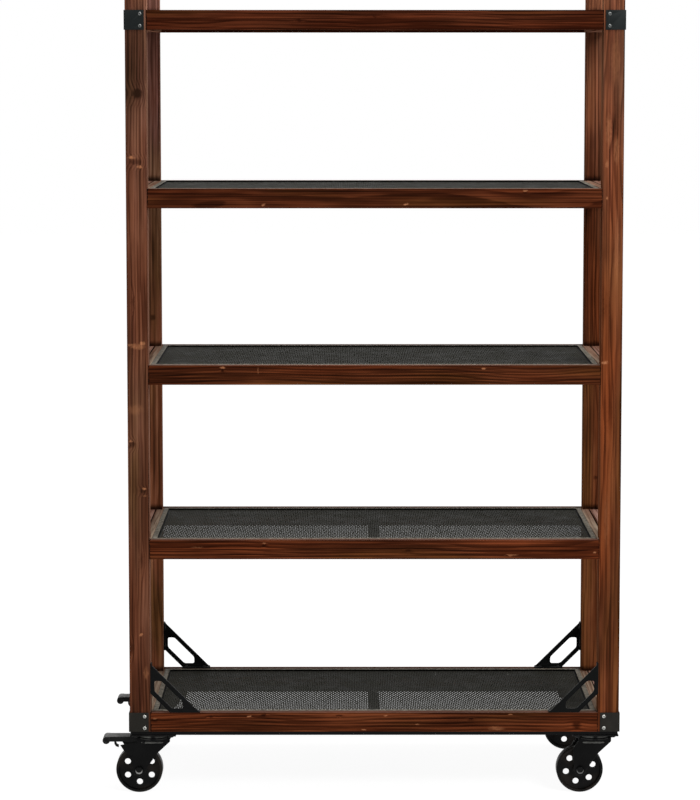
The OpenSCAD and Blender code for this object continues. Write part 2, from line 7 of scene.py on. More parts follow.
import bmesh
import bpy
import numpy as np
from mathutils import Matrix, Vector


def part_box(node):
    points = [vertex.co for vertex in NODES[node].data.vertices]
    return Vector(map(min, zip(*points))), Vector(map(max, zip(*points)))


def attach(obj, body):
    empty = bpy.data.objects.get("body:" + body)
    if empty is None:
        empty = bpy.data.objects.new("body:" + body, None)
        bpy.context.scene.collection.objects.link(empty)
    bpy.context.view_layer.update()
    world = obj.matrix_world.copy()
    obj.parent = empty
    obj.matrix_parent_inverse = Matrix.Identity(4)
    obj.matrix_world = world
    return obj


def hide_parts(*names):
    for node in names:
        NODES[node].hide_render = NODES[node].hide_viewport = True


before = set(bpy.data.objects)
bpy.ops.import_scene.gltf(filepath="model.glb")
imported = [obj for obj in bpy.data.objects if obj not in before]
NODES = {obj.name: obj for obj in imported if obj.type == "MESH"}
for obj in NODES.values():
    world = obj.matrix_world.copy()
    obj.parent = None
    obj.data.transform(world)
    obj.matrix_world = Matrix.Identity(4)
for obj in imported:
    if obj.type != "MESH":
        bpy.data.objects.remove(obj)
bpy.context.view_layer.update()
MM = 0.001

CORNERS = ("front_left", "front_right", "back_left", "back_right")
BRAKED = ("front_left", "back_left")
TIERS = range(1, 6)
ALONG_X, ALONG_Y, ALONG_Z = range(3)

# Camera of the photograph
CAMERA_PLACE = (-34.8 * MM, -6035.9 * MM, 1581.2 * MM)
CAMERA_PITCH = math.radians(5.28)
CAMERA_YAW = math.radians(0.106)
CAMERA_LENS = 121.9
CAMERA_SENSOR = 36.0
CAMERA_SHIFT = -0.10

# Places on the shelf that the finishes follow
FRONT_FACE = -228.5 * MM
BACK_POST_FACE = 183.5 * MM
SHELF_MIDDLE = 29.0 * MM
BATTEN_OUT = 502.5 * MM
RAIL_END = 488.5 * MM
FIRST_DECK = 184.0 * MM
DECK_STEP = 381.0 * MM

# Two upright planes of the photograph: a pixel, the same point in mm, and the mm to a pixel
FRONT_PLANE = (374.65, 715.8), (29.0, 184.0), 2.1642
REAR_PLANE = (349.0, 69.0), (-26.0, 1584.0), 2.343


def srgb(red, green, blue):
    """A colour written as it shows on a screen, 0 to 255, as linear light with an alpha of 1."""
    shown = np.array([red, green, blue]) / 255
    linear = np.where(shown <= 0.04045, shown / 12.92, ((shown + 0.055) / 1.055) ** 2.4)
    return (*(float(part) for part in linear), 1.0)


def shaded(colour, by, lift=0.0):
    """A colour with each of its parts times one number plus another."""
    return (*(part * by + lift for part in colour[:3]), 1.0)


def centre(node):
    """The middle of a node's box at rest."""
    low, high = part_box(node)
    return (low + high) / 2


# Shader nodes


class Wire:
    """An output of a shader node. Arithmetic on it adds Math nodes."""

    def __init__(self, finish, socket):
        self.finish = finish
        self.socket = socket

    def math(self, operation, *others):
        return self.finish.math(operation, self, *others)

    def __add__(self, other):
        return self.math("ADD", other)

    def __sub__(self, other):
        return self.math("SUBTRACT", other)

    def __mul__(self, other):
        return self.math("MULTIPLY", other)

    def __truediv__(self, other):
        return self.math("DIVIDE", other)

    def __rsub__(self, other):
        return self.finish.math("SUBTRACT", other, self)

    def __rtruediv__(self, other):
        return self.finish.math("DIVIDE", other, self)

    __radd__ = __add__
    __rmul__ = __mul__


class Finish:
    """The nodes of a material or of the world, under construction."""

    def __init__(self, owner):
        owner.use_nodes = True
        self.owner = owner
        self.tree = owner.node_tree
        self.tree.nodes.clear()

    def node(self, kind, settings=None, inputs=None):
        """Adds a node. Its settings come first, among them a ramp's stops as pairs of a position
        and a colour, and then each socket gets its value or its link."""
        made = self.tree.nodes.new(kind)
        settings = dict(settings or {})
        stops = settings.pop("stops", ())
        for name, value in settings.items():
            setattr(made, name, value)
        for _ in stops[2:]:
            made.color_ramp.elements.new(0.5)
        for number, (position, colour) in enumerate(stops):
            made.color_ramp.elements[number].position = position
            made.color_ramp.elements[number].color = colour
        for name, value in (inputs or {}).items():
            if isinstance(value, Wire):
                self.tree.links.new(value.socket, made.inputs[name])
            else:
                made.inputs[name].default_value = value
        return made

    def add(self, kind, settings=None, inputs=None, output=0):
        """Adds a node and gives one of its outputs."""
        return Wire(self, self.node(kind, settings, inputs).outputs[output])

    def math(self, operation, *values):
        return self.add("ShaderNodeMath", {"operation": operation}, dict(enumerate(values)))

    def parts(self, vector):
        node = self.node("ShaderNodeSeparateXYZ", None, {0: vector})
        return [Wire(self, socket) for socket in node.outputs]

    def place(self):
        """Where a point is in the model's frame."""
        return self.add("ShaderNodeTexCoord", output="Object")

    def grain(self):
        """A point of a board from its tree's pith: two ways across the grain, then along it."""
        return self.add("ShaderNodeAttribute", {"attribute_name": "grain"}, output="Vector")

    def worn(self):
        """1 in the middle of a rounded edge and 0 on flat faces."""
        return self.add("ShaderNodeAttribute", {"attribute_name": "worn"}, output="Fac")

    def upward(self):
        """1 where a face points up and 0 where it stands upright."""
        return self.parts(self.add("ShaderNodeNewGeometry", output="Normal"))[2]

    def facing(self):
        """0 where a face is seen straight on and 1 where it is seen edge on."""
        return self.add("ShaderNodeLayerWeight", None, {"Blend": 0.5}, output="Facing")

    def noise(self, vector, scale, detail, roughness):
        """Noise with one scale, or with a scale for each axis."""
        if isinstance(scale, tuple):
            times = {"operation": "MULTIPLY"}
            vector, scale = self.add("ShaderNodeVectorMath", times, {0: vector, 1: scale}), 1.0
        sockets = {"Vector": vector, "Scale": scale, "Detail": detail, "Roughness": roughness}
        return self.add("ShaderNodeTexNoise", None, sockets)

    def range(self, value, low, high, to_low=0.0, to_high=1.0):
        """A smooth step from to_low at low to to_high at high."""
        sockets = {"Value": value, "From Min": low, "From Max": high}
        sockets |= {"To Min": to_low, "To Max": to_high}
        return self.add("ShaderNodeMapRange", {"interpolation_type": "SMOOTHSTEP"}, sockets)

    def mix(self, factor, first, second, blend="MIX"):
        """Two colours, which are inputs 6 and 7 of a Mix node, mixed by a factor."""
        settings = {"data_type": "RGBA", "blend_type": blend}
        return self.add("ShaderNodeMix", settings, {0: factor, 6: first, 7: second}, output=2)

    def tint(self, factor, colour, by):
        """A colour multiplied by another, by a factor."""
        return self.mix(factor, colour, by, "MULTIPLY")

    def bump(self, height, distance, strength):
        sockets = {"Height": height, "Distance": distance, "Strength": strength}
        return self.add("ShaderNodeBump", None, sockets)

    def surface(self, **sockets):
        """Ends a material: each keyword is a Principled socket's name with _ for a space."""
        named = {name.replace("_", " "): value for name, value in sockets.items()}
        return self.end(self.add("ShaderNodeBsdfPrincipled", None, named))

    def end(self, shader, kind="ShaderNodeOutputMaterial"):
        """Shows a shader on the material, or on the world where that kind of output is given."""
        self.node(kind, None, {"Surface": shader})
        return self.owner


# Timber finishes

# Patterns in the grain: waves to a metre twice across it and once along it, detail and roughness
BEND = (6.0, 6.0, 1.6), 2.0, 0.5
RIPPLE = (34.0, 34.0, 5.0), 2.0, 0.5
STREAK = (330.0, 330.0, 2.6), 2.0, 0.5
FIBRE = (1300.0, 1300.0, 12.0), 3.0, 0.6
BLOTCH = (20.0, 20.0, 4.0), 3.0, 0.55
HUE = (16.0, 16.0, 2.4), 2.0, 0.5
PALE_BAND = (75.0, 75.0, 3.0), 2.0, 0.5
FLECK = (420.0, 420.0, 60.0), 2.0, 0.6
SETTLED_DUST_AND_SHEEN = (90.0, 90.0, 14.0), 3.0, 0.6
DUST_AND_SHEEN_LINES = (170.0, 170.0, 4.0), 3.0, 0.6
RUBBING = (60.0, 60.0, 9.0), 3.0, 0.6
KNOT_WOBBLE = 160.0, 3.0, 0.6

# How far the patterns push the rings and the knots' outlines
BEND_BY = 34.0 * MM
RIPPLE_BY = 6.0 * MM
WOBBLE_BY = 8.0 * MM

# What each pattern adds to the stain's depth, from 0 for its light colour to 1 for its dark one
PLAIN_DEPTH = 0.34
LATE_DEPTH = 0.40
STREAK_DEPTH = 1.5
FIBRE_DEPTH = 0.5
KNOT_DEPTH = 0.5

# A spot's fade: the shares of its outline where it ends and where it has its full strength
SWIRL_FADE = 3.0, 0.4
KNOT_FADE = 1.25, 0.3
CHIP_FADE = 1.2, 0.4

RED_TINT = (1.30, 0.78, 0.55, 1.0)
GREEN_TINT = (0.90, 1.10, 0.80, 1.0)
PALE_TINT = (1.45, 1.50, 1.75, 1.0)
BARE_WOOD = srgb(172, 114, 78)
# Colour of rubbed timber edges: wear and a painted highlight.
WOOD_EDGE_WEAR_AND_HIGHLIGHT = srgb(150, 108, 88)
JOINT_PAINTED_SHADE = srgb(14, 9, 7)
CREVICE_PAINTED_SHADE = srgb(16, 8, 6)
EDGE_SHEEN = 0.6


def spots(f, x, z, places, ends, full):
    """Elliptic spots at (x, z, half width, half height, strength). The distance from a spot's
    middle is 1 on its outline, and the spot has its strength up to full and falls to 0 at ends."""
    total = None
    for spot_x, spot_z, half_x, half_z, strength in places:
        away_x = (x - spot_x) / half_x
        away_z = (z - spot_z) / half_z
        away = (away_x * away_x + away_z * away_z).math("SQRT")
        spot = f.range(away, ends, full, 0.0, strength)
        total = total.math("MAXIMUM", spot) if total else spot
    return total


def late_wood(f, radius, ring):
    """The dark part of each year's ring, which comes slowly, ends sharply and varies in strength."""
    years = radius / ring
    year = years.math("FRACT")
    number = years.math("FLOOR")
    strength = f.add("ShaderNodeTexWhiteNoise", {"noise_dimensions": "1D"}, {"W": number})
    return f.range(year, 0.25, 0.88) * f.range(year, 0.90, 1.0, 1.0, 0.0) * (0.3 + 0.7 * strength)


def timber_finish(name, light, middle, dark, ring, knots=(), chips=(), back_knots=(), swirl=1.6,
                  edge=WOOD_EDGE_WEAR_AND_HIGHLIGHT, rub=0.75, warm=0.5, top=None, dust=0.0, joint=None, upper=None,
                  upper_z=(0.8, 1.7), wave=1.0, pale=0.0, cloudy=1.7):
    """Stained softwood in a light, a middle and a dark colour, with a ring's width for each year.

    Growth rings are the distance from the pith, and wave is how much they wander along the board.
    Streaks of stain, fine fibres and blotches, deeper the more cloudy it is, lie over them. Warm is
    how red the stain turns in places and pale how strong its pale bands are. Edges are rubbed by
    rub to the edge's colour, which is wear and a painted highlight, and faces seen nearly edge on
    get a painted sheen of it. Tops have streaks of dust in two colours that also paint a sheen,
    thicker the flatter they are seen. The rings swirl round the knots, and chips are where stain is
    missing. A joint is a line of painted shade at that distance from the shelf's middle, and upper
    is the stain's tint at the heights upper_z and over. Posts with back_knots get painted shade
    where they meet a deck."""
    f = Finish(bpy.data.materials.new(name))
    grain = f.grain()
    across, through, _ = f.parts(grain)
    x, y, z = f.parts(f.place())
    radius = (across * across + through * through).math("SQRT")
    radius = radius + (f.noise(grain, *BEND) - 0.5) * (BEND_BY * wave)
    radius = radius + (f.noise(grain, *RIPPLE) - 0.5) * (RIPPLE_BY * wave)
    knot = 0.0
    if knots:
        wobble = (f.noise(f.place(), *KNOT_WOBBLE) - 0.5) * WOBBLE_BY
        x, z = x + wobble, z + wobble
        front = f.range(y, FRONT_FACE + 4 * MM, FRONT_FACE + 14 * MM, 1.0, 0.0)
        radius = radius + spots(f, x, z, knots, *SWIRL_FADE) * front * (swirl * ring)
        knot = spots(f, x, z, knots, *KNOT_FADE) * front
        chip = spots(f, x, z, chips, *CHIP_FADE) * front
    if back_knots:
        rear = f.range(y, BACK_POST_FACE - 4 * MM, BACK_POST_FACE)
        rear = rear * f.range(y, BACK_POST_FACE + 5 * MM, BACK_POST_FACE + 14 * MM, 1.0, 0.0)
        knot = knot + spots(f, x, z, back_knots, *KNOT_FADE) * rear

    late = late_wood(f, radius, ring)
    streak, fibre, blotch = (f.noise(grain, *pattern) for pattern in (STREAK, FIBRE, BLOTCH))
    depth = late * LATE_DEPTH + (streak - 0.5) * STREAK_DEPTH + (fibre - 0.5) * FIBRE_DEPTH
    depth = depth + (blotch - 0.5) * cloudy + PLAIN_DEPTH + knot * KNOT_DEPTH
    stops = [(0.0, light), (0.48, middle), (1.0, dark)]
    colour = f.add("ShaderNodeValToRGB", {"stops": stops}, {"Fac": depth}, output="Color")
    hue = f.noise(grain, *HUE)
    colour = f.tint(f.range(hue, 0.42, 0.66, 0.0, warm), colour, RED_TINT)
    colour = f.tint(f.range(hue, 0.32, 0.46, 0.7, 0.0), colour, GREEN_TINT)
    if pale:
        band = f.noise(grain, *PALE_BAND)
        colour = f.tint(f.range(band, 0.48, 0.66, 0.0, pale), colour, PALE_TINT)
    if upper:
        colour = f.tint(f.range(z, *upper_z), colour, upper)
    if knots:
        fleck = f.noise(grain, *FLECK)
        colour = f.mix(chip * f.range(fleck, 0.34, 0.56, 0.3, 1.0), colour, BARE_WOOD)

    facing = f.facing()
    # Tops: streaks of dust with a painted sheen, covering more the flatter a top is seen.
    if top:
        settled = f.range(f.noise(grain, *SETTLED_DUST_AND_SHEEN), 0.25, 0.7, 0.75 * dust, dust)
        dust_and_sheen_cover = f.range(f.upward(), 0.5, 0.95) * settled * f.range(facing, 0.5, 0.76, 0.35, 1.0)
        lines = f.range(f.noise(grain, *DUST_AND_SHEEN_LINES), 0.36, 0.62)
        colour = f.mix(dust_and_sheen_cover, colour, f.mix(lines, *top))
    # Painted sheen: faces seen nearly edge on turn towards the edge colour.
    colour = f.mix(f.range(facing, 0.84, 0.97, 0.0, EDGE_SHEEN), colour, edge)
    # Rubbed edges take the edge colour: wear and a painted highlight.
    rubbing = f.noise(grain, *RUBBING)
    colour = f.mix(f.worn() * f.range(rubbing, 0.3, 0.62, 0.2 * rub, rub), colour, edge)
    if joint:
        # Painted shade in the joint at that distance from the shelf's middle.
        from_joint = ((x - SHELF_MIDDLE).math("ABSOLUTE") - joint).math("ABSOLUTE")
        colour = f.mix(f.range(from_joint, 0.9 * MM, 2.1 * MM, 1.0, 0.0), colour, JOINT_PAINTED_SHADE)
    # Painted shade on the back posts just above each deck.
    if back_knots:
        over_deck = ((z - FIRST_DECK) / DECK_STEP).math("FRACT") * DECK_STEP
        painted_crevice_shade = f.range(over_deck, 3 * MM, 16 * MM, 0.9, 0.0) * rear
        colour = f.mix(painted_crevice_shade * f.range(rubbing, 0.2, 0.5, 0.6, 1.0), colour, CREVICE_PAINTED_SHADE)
    roughness = f.range(depth, 0.1, 0.9, 0.56, 0.72)
    relief = f.bump(fibre * 0.5 - late * 0.6, 0.25 * MM, 0.5)
    return f.surface(Base_Color=colour, Roughness=roughness, Specular_IOR_Level=0.0, Normal=relief)


# Steel and plastic finishes

# Patterns in the model's frame: waves to a metre, detail and roughness
ORANGE_PEEL = 900.0, 2.0, 0.5
PAINT_CLOUD = 22.0, 3.0, 0.6
SHOE_RUB = (180.0, 420.0, 420.0), 4.0, 0.7
SCRATCH = 200.0, 3.0, 0.6
PLATE_CLOUD = 9.0, 3.0, 0.6
MOTTLE = 110.0, 4.0, 0.65
GRIME = 300.0, 3.0, 0.6
SCUFF = 120.0, 4.0, 0.65
DUST_CLOUD = 17.0, 2.0, 0.5
PATINA = 420.0, 3.0, 0.6

UPPER_STEEL_Z = 0.8, 1.2
UPPER_ZINC_TINT = (0.28, 0.29, 0.30, 1.0)
PAINT_EDGE_WEAR_AND_HIGHLIGHT = srgb(112, 112, 108)
RIM_EDGE_WEAR_AND_HIGHLIGHT = srgb(178, 172, 160)
RIM_WITHOUT_REFLECTION = srgb(62, 58, 52)
SCUFFED_PLASTIC = srgb(40, 38, 35)
BROWN_DUST_AND_SHEEN = srgb(44, 38, 33)
DULL_ZINC = srgb(150, 150, 146)
BRIGHT_ZINC = srgb(214, 214, 208)
RECESS_PAINTED_SHADE = srgb(30, 30, 30)


def painted_finish(name, colour, rough=0.5, gloss=0.10, edge=0.4, worn=None, upper=None):
    """Powder coat or paint on steel: a fine orange peel, faint dust, and edges paler with wear and a
    painted highlight. Worn is the colour of fine wear on tops, and upper is another tint by the top
    of the shelf."""
    f = Finish(bpy.data.materials.new(name))
    at = f.place()
    cloud = f.noise(at, *PAINT_CLOUD)
    shade = f.mix(f.range(cloud, 0.42, 0.75, 0.0, 0.5), colour, shaded(colour, 1.9, 0.003))
    if upper:
        shade = f.tint(f.range(f.parts(at)[2], *UPPER_STEEL_Z), shade, upper)
    if worn:
        rub = f.range(f.noise(at, *SHOE_RUB), 0.25, 0.62, 0.5, 1.0)
        shade = f.mix(f.range(f.upward(), 0.80, 0.98) * rub, shade, worn)
    # Rubbed edges: wear and a painted highlight.
    shade = f.mix(f.worn() * f.range(cloud, 0.3, 0.7, 0.3 * edge, 1.4 * edge), shade, PAINT_EDGE_WEAR_AND_HIGHLIGHT)
    roughness = f.range(cloud, 0.3, 0.7, rough - 0.06, rough + 0.1)
    relief = f.bump(f.noise(at, *ORANGE_PEEL), 0.06 * MM, 0.6)
    return f.surface(Base_Color=shade, Roughness=roughness, Specular_IOR_Level=gloss, Normal=relief)


def plated_finish(name, colour):
    """Zinc plate: fine scratches, and cloudy patches where it is dimmer."""
    f = Finish(bpy.data.materials.new(name))
    scratch, cloud = f.noise(f.place(), *SCRATCH), f.noise(f.place(), *PLATE_CLOUD)
    shade = f.mix(f.range(cloud * 0.6 + scratch * 0.4, 0.35, 0.68), shaded(colour, 0.62), colour)
    roughness = f.range(scratch, 0.3, 0.7, 0.31, 0.47)
    return f.surface(Base_Color=shade, Roughness=roughness, Metallic=0.9,
                     Specular_IOR_Level=0.12, Normal=f.bump(scratch, 0.03 * MM, 0.5))


def rim_finish(name, dull, bright):
    """Lacquered flat steel, mottled between a dull and a bright colour, bright at its rubbed edges
    with wear and a painted highlight, and with a painted reflection that leaves it darker the
    steeper it is seen."""
    f = Finish(bpy.data.materials.new(name))
    mottle = f.noise(f.place(), *MOTTLE)
    shade = f.mix(f.range(mottle, 0.38, 0.62), dull, bright)
    # Rubbed edges: wear and a painted highlight.
    shade = f.mix(f.worn() * f.range(mottle, 0.3, 0.6, 0.3, 1.0), shade, RIM_EDGE_WEAR_AND_HIGHLIGHT)
    # Painted reflection: the rim is paler the flatter it is seen.
    shade = f.mix(f.range(f.facing(), 0.5, 0.76, 0.6, 0.0), shade, RIM_WITHOUT_REFLECTION)
    return f.surface(Base_Color=shade, Roughness=f.range(mottle, 0.3, 0.7, 0.45, 0.6),
                     Specular_IOR_Level=0.02, Normal=f.bump(mottle, 0.04 * MM, 0.5))


def axle_finish(name, colour, bright):
    """Blackened bolt ends with a painted glint, a sickle at the bottom of each, bright on the left
    caster and dim on the right: what is inside one circle and outside another that is a little
    smaller and higher."""
    f = Finish(bpy.data.materials.new(name))
    x, _, z = f.parts(f.place())
    left, right = centre("axle_front_left"), centre("axle_front_right")
    away_x = (x - left.x).math("ABSOLUTE").math("MINIMUM", (x - right.x).math("ABSOLUTE"))
    away_z = z - left.z
    lifted_z = away_z - 2.8 * MM
    whole = (away_x * away_x + away_z * away_z).math("SQRT")
    higher = (away_x * away_x + lifted_z * lifted_z).math("SQRT")
    # Painted glint: a bright sickle at the bottom of each bolt end, dimmer towards the right.
    sickle = f.range(whole, 7.0 * MM, 7.8 * MM, 1.0, 0.0) * f.range(higher, 6.6 * MM, 7.4 * MM)
    grime = f.noise(f.place(), *GRIME)
    glint_strength = f.range(grime, 0.3, 0.6, 0.6, 1.0) * f.range(x, left.x, right.x, 1.0, 0.4)
    shade = f.mix(sickle * glint_strength, colour, bright)
    return f.surface(Base_Color=shade, Roughness=f.range(grime, 0.3, 0.7, 0.4, 0.55),
                     Specular_IOR_Level=0.08, Normal=f.bump(grime, 0.04 * MM, 0.5))


def wheel_finish(name, colour):
    """Hard black plastic: scuffs where it has rolled, and brown patches of dust with a painted
    sheen.
    """
    f = Finish(bpy.data.materials.new(name))
    scuff, cloud = f.noise(f.place(), *SCUFF), f.noise(f.place(), *DUST_CLOUD)
    shade = f.mix(f.range(scuff, 0.52, 0.8, 0.0, 0.4), colour, SCUFFED_PLASTIC)
    # Brown patches: dust and a painted sheen.
    shade = f.mix(f.range(cloud, 0.45, 0.62, 0.0, 0.5), shade, BROWN_DUST_AND_SHEEN)
    return f.surface(Base_Color=shade, Roughness=f.range(scuff, 0.35, 0.7, 0.36, 0.6),
                     Specular_IOR_Level=0.09, Normal=f.bump(scuff, 0.08 * MM, 0.5))


def screw_finish(name):
    """Zinc pan heads, dull at the top of the shelf and bright at the bottom. The head's own UV map
    draws its cross recess as a dent with painted shade."""
    f = Finish(bpy.data.materials.new(name))
    u, v, _ = f.parts(f.add("ShaderNodeUVMap", {"uv_map": "head"}))
    u, v = (u - 0.5).math("ABSOLUTE"), (v - 0.5).math("ABSOLUTE")
    arms = f.range(u.math("MAXIMUM", v), 0.24, 0.28, 1.0, 0.0)
    slots = f.range(u.math("MINIMUM", v), 0.05, 0.09, 1.0, 0.0)
    recess = arms * slots
    patina = f.noise(f.place(), *PATINA)
    shade = f.mix(f.range(patina, 0.35, 0.7), DULL_ZINC, BRIGHT_ZINC)
    shade = f.tint(f.range(f.parts(f.place())[2], *UPPER_STEEL_Z), shade, UPPER_ZINC_TINT)
    # Painted shade in the cross recess.
    shade = f.mix(recess * 0.92, shade, RECESS_PAINTED_SHADE)
    roughness = f.range(patina, 0.3, 0.7, 0.28, 0.5)
    relief = f.bump(recess * -1.0 + patina * 0.05, 0.8 * MM, 0.8)
    return f.surface(Base_Color=shade, Roughness=roughness, Metallic=0.85, Normal=relief)


# The shelf's materials


def spots_on(plane, *places):
    """Spots from the photograph's pixels to metres: each is (x, y, half width, half height,
    strength) there, and (x, z, half width, half height, strength) on the shelf."""
    (pixel_x, pixel_y), (plane_x, plane_z), scale = plane
    return [((plane_x + (x - pixel_x) * scale) * MM, (plane_z + (pixel_y - y) * scale) * MM,
             wide * scale * MM, high * scale * MM, strength)
            for x, y, wide, high, strength in places]


# Knots, and chips of missing stain, in the photograph's pixels
LEFT_KNOTS = spots_on(
    FRONT_PLANE,
    (140, 94, 6.0, 5.5, 0.9), (138, 161, 7.0, 3.5, 0.75), (133, 443, 3.0, 3.5, 0.9),
    (131, 650, 2.0, 6.0, 0.5), (143, 490, 4.0, 2.5, 0.5), (135, 300, 1.5, 8.0, 0.5),
    (142, 560, 1.5, 9.0, 0.4))
LEFT_CHIPS = spots_on(
    FRONT_PLANE,
    (134, 157, 4.0, 1.6, 0.8), (142, 166, 3.5, 1.4, 0.8), (143.5, 341.5, 3.2, 2.4, 1.0),
    (139, 345, 7.5, 3.0, 0.6), (133, 343, 6.0, 1.6, 0.4), (136, 408, 9.0, 6.0, 0.22),
    (131, 440, 2.5, 0.9, 0.7), (144, 488, 2.5, 1.2, 0.8), (145, 495, 2.0, 1.0, 0.7),
    (140, 636, 1.6, 1.6, 0.8), (145, 675, 2.5, 7.0, 0.35))
RIGHT_KNOTS = spots_on(
    FRONT_PLANE,
    (611, 126, 3.0, 14.0, 0.45), (610, 415, 3.0, 22.0, 0.4), (604, 300, 1.5, 18.0, 0.35))
RIGHT_CHIPS = spots_on(
    FRONT_PLANE,
    (612, 60, 5.0, 26.0, 0.22), (615, 250, 3.0, 40.0, 0.18), (607, 520, 3.0, 30.0, 0.15),
    (604, 361, 3.8, 1.8, 0.9), (605, 197, 1.3, 1.8, 0.7), (604.6, 163, 1.6, 5.0, 0.5),
    (606, 130, 3.0, 18.0, 0.35), (614, 150, 3.0, 15.0, 0.3))
LEFT_BACK_KNOTS = spots_on(REAR_PLANE, (156, 313, 3.2, 3.2, 0.9), (157, 250, 2.0, 20.0, 0.5))
RIGHT_BACK_KNOTS = spots_on(REAR_PLANE, (598, 110, 1.6, 3.2, 1.0), (593, 472, 2.4, 2.4, 0.8))
RAIL_KNOTS = spots_on(
    FRONT_PLANE,
    (223, 368.6, 1.8, 1.3, 1.0), (578.6, 729, 5.0, 4.0, 1.0), (153.6, 723.7, 3.0, 2.2, 0.6),
    (210, 720, 2.6, 1.0, 1.0), (263, 718, 3.0, 1.0, 1.0), (339, 718.7, 3.4, 1.0, 1.0),
    (523.6, 191.4, 2.6, 2.2, 0.4), (472, 722, 2.6, 1.2, 0.8), (264, 545, 2.2, 1.6, 0.6),
    (409, 550, 3.2, 1.4, 0.6), (374, 18, 3.0, 1.2, 0.5), (300, 22, 4.0, 1.2, 0.5))
RAIL_CHIPS = spots_on(
    FRONT_PLANE,
    (223, 366.0, 3.4, 1.0, 0.8), (523.6, 189.8, 2.8, 0.9, 0.7), (405.7, 203, 2.4, 1.0, 0.9),
    (264, 203.6, 2.0, 1.0, 0.8), (483.6, 366.4, 2.6, 1.0, 0.8), (258.6, 369, 0.6, 4.0, 0.4),
    (264, 543, 2.0, 0.8, 0.8), (197, 547, 7.0, 0.8, 0.2), (512, 555, 7.0, 0.9, 0.5),
    (596, 552, 1.6, 1.0, 0.8), (248.6, 719.4, 2.4, 0.8, 0.8), (364, 733.4, 3.0, 0.8, 0.7),
    (386, 719, 2.2, 0.8, 0.7), (512, 717.7, 2.6, 0.8, 0.7), (418, 727.7, 2.4, 0.8, 0.6),
    (498, 732, 9.0, 2.0, 0.35), (153.6, 722, 2.4, 0.7, 0.5))

# Each post's edge colour is its wear and a painted highlight along the rounded edges.
WOOD_POST_LEFT = timber_finish(
    "stained_post_left", srgb(118, 78, 57), srgb(83, 50, 35), srgb(40, 23, 14), 6.2 * MM,
    knots=LEFT_KNOTS, chips=LEFT_CHIPS, edge=srgb(196, 146, 122), rub=1.0, warm=0.35, pale=0.35,
    upper=(1.05, 1.13, 1.26, 1.0))
WOOD_POST_RIGHT = timber_finish(
    "stained_post_right", srgb(124, 72, 42), srgb(86, 46, 26), srgb(42, 22, 11), 6.8 * MM,
    knots=RIGHT_KNOTS, chips=RIGHT_CHIPS, back_knots=RIGHT_BACK_KNOTS, edge=srgb(172, 120, 90),
    rub=0.9, wave=1.6, pale=0.4, upper=(1.15, 1.6, 2.35, 1.0), upper_z=(1.05, 1.65))
# A paler copy of the posts' stain: painted light that brightens the back left post.
WOOD_POST_BACK_PAINTED_LIGHT = timber_finish(
    "stained_post_back_left_painted_light", srgb(172, 113, 82), srgb(129, 77, 51), srgb(75, 43, 27), 6.4 * MM,
    back_knots=LEFT_BACK_KNOTS, edge=srgb(190, 142, 118), rub=0.9, warm=0.4, pale=0.4,
    upper=(0.60, 0.77, 1.25, 1.0))
# For rails, boards and battens, top and dust give the tops' dust together with its painted sheen.
WOOD_RAIL = timber_finish(
    "stained_rail", srgb(116, 62, 36), srgb(66, 32, 17), srgb(31, 13, 7), 7.2 * MM,
    knots=RAIL_KNOTS, chips=RAIL_CHIPS, swirl=0.4, edge=srgb(140, 104, 86), rub=0.8, warm=0.3,
    top=(srgb(100, 74, 64), srgb(128, 102, 92)), dust=0.7, joint=RAIL_END,
    upper=(0.62, 0.58, 0.64, 1.0), cloudy=1.2, wave=1.7)
WOOD_BOARD = timber_finish(
    "stained_board", srgb(112, 60, 38), srgb(64, 31, 19), srgb(30, 13, 8), 7.2 * MM,
    warm=0.3, top=(srgb(98, 62, 50), srgb(208, 166, 150)), dust=0.9, joint=BATTEN_OUT)
WOOD_BATTEN = timber_finish(
    "stained_batten", srgb(116, 66, 42), srgb(70, 36, 22), srgb(32, 14, 9), 7.2 * MM,
    warm=0.2, top=(srgb(120, 94, 78), srgb(188, 166, 144)), dust=0.95, joint=BATTEN_OUT)
DOWEL_WOOD = timber_finish(
    "plain_dowel", srgb(196, 162, 118), srgb(178, 140, 96), srgb(140, 104, 66), 3.0 * MM)
BLACK_STEEL = painted_finish("black_powder_coat", srgb(32, 30, 26), upper=(0.55, 0.78, 0.98, 1.0))
CASTER_STEEL = painted_finish("black_caster_paint", srgb(8, 8, 8), 0.42, gloss=0.07)
YOKE_STEEL = painted_finish("black_yoke_paint", srgb(9, 9, 9), 0.42, gloss=0.06, edge=0.12)
GUSSET_STEEL = painted_finish("black_gusset_paint", srgb(9, 10, 10), gloss=0.06, edge=0.3)
# The folds take the edge colour all over: a painted highlight along each fold.
FOLD_HIGHLIGHT_PAINT = painted_finish("fold_painted_highlight", srgb(20, 20, 20), 0.42, edge=0.7)
PEDAL_STEEL = painted_finish(
    "worn_pedal_paint", srgb(15, 15, 15), 0.42, edge=0.3, worn=srgb(112, 112, 111))
BLACK_SCREW = painted_finish("black_oxide", srgb(14, 14, 14), 0.4, gloss=0.2)
MESH_STEEL = painted_finish("mesh_paint", srgb(50, 49, 43), 0.6, gloss=0.03)
# Black paint that stands for the shade in the step between a rim and its mesh.
EDGE_SHADE_PAINT = painted_finish("mesh_edge_shade_paint", srgb(8, 8, 6), 0.6, gloss=0.03, edge=0.1)
RIM_STEEL = rim_finish("lacquered_rim_steel", srgb(98, 92, 82), srgb(150, 143, 130))
ZINC = plated_finish("zinc_plate", srgb(168, 168, 162))
SCREW_HEAD = screw_finish("zinc_pan_head")
WHEEL_BLACK = wheel_finish("wheel_plastic", srgb(6, 6, 6))
AXLE_PAINT_AND_GLINT = axle_finish("axle_end_painted_glint", srgb(12, 12, 12), srgb(158, 158, 156))


# Mesh tools

